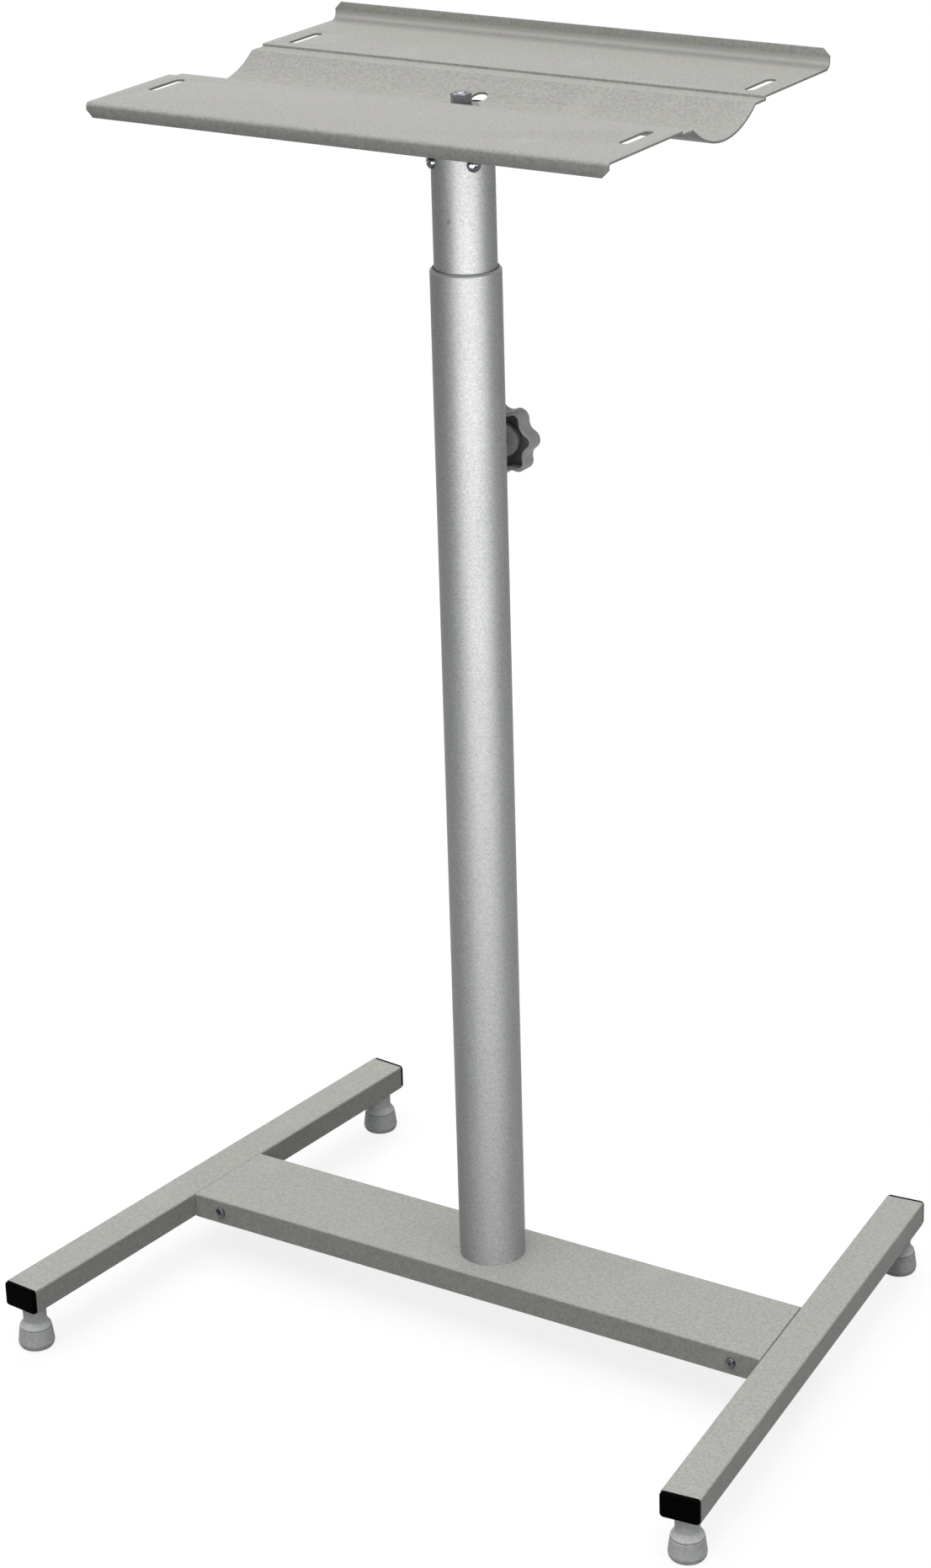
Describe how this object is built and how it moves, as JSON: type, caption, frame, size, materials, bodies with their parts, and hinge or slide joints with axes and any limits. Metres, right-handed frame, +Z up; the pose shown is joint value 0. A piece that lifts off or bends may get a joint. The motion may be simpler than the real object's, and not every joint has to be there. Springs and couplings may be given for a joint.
{
  "type": "portable projector stand",
  "caption": "Projector stand: splayed H-shaped base, telescoping round column with a star clamp knob, and a folded sheet tray with a trough, lips and strap slots.",
  "frame": {"origin": "on the floor under the column's axis", "axes": "+X along the cross beam to the right, +Y to the rear (the side of the knob and the raised lip), +Z up"},
  "size_m": [0.5974, 0.4515, 0.9648],
  "materials": {
    "coated_steel": "fine-grained silver-grey powder coat",
    "satin_aluminium": "satin drawn tube",
    "black_plastic": "smooth moulded black",
    "foot_collar_grey": "moulded grey, satin",
    "foot_rubber_grey": "matt grey",
    "bush_plastic": "smooth light grey",
    "knob_plastic": "moulded grey, satin",
    "zinc_steel": "bright zinc plate"
  },
  "bodies": {
    "base": {"left_rail": "coated_steel", "right_rail": "coated_steel", "cross_beam": "coated_steel", "left_bracket": "coated_steel", "right_bracket": "coated_steel", "column_tube": "satin_aluminium", "base_plug": "satin_aluminium", "base_washer": "zinc_steel", "base_bolt": "zinc_steel", "rim_bush": "bush_plastic", "clamp_boss": "zinc_steel", "left_front_cap": "black_plastic", "left_rear_cap": "black_plastic", "right_front_cap": "black_plastic", "right_rear_cap": "black_plastic", "left_front_foot_collar": "foot_collar_grey", "left_rear_foot_collar": "foot_collar_grey", "right_front_foot_collar": "foot_collar_grey", "right_rear_foot_collar": "foot_collar_grey", "left_front_foot_tip": "foot_rubber_grey", "left_rear_foot_tip": "foot_rubber_grey", "right_front_foot_tip": "foot_rubber_grey", "right_rear_foot_tip": "foot_rubber_grey"},
    "knob": {"star_knob": "knob_plastic", "clamp_stud": "zinc_steel"},
    "carrier": {"slide_bush": "bush_plastic"},
    "mast": {"inner_tube": "satin_aluminium", "top_plug": "satin_aluminium", "tray": "coated_steel", "tray_washer": "zinc_steel", "tray_nut": "zinc_steel", "tray_bolt": "zinc_steel"}
  },
  "joints": [
    {"name": "height_slide", "type": "slide", "parent": "base", "child": "carrier", "axis": [0, 0, 1], "range_m": [-0.06, 0.295]},
    {"name": "tray_swivel", "type": "hinge", "parent": "carrier", "child": "mast", "pos_m": [0, 0, 0.33109], "axis": [0, 0, 1], "continuous": true},
    {"name": "knob_turn", "type": "hinge", "parent": "base", "child": "knob", "pos_m": [0, 0.04, 0.691], "axis": [0, 1, 0], "range_deg": [0, 270]}
  ]
}
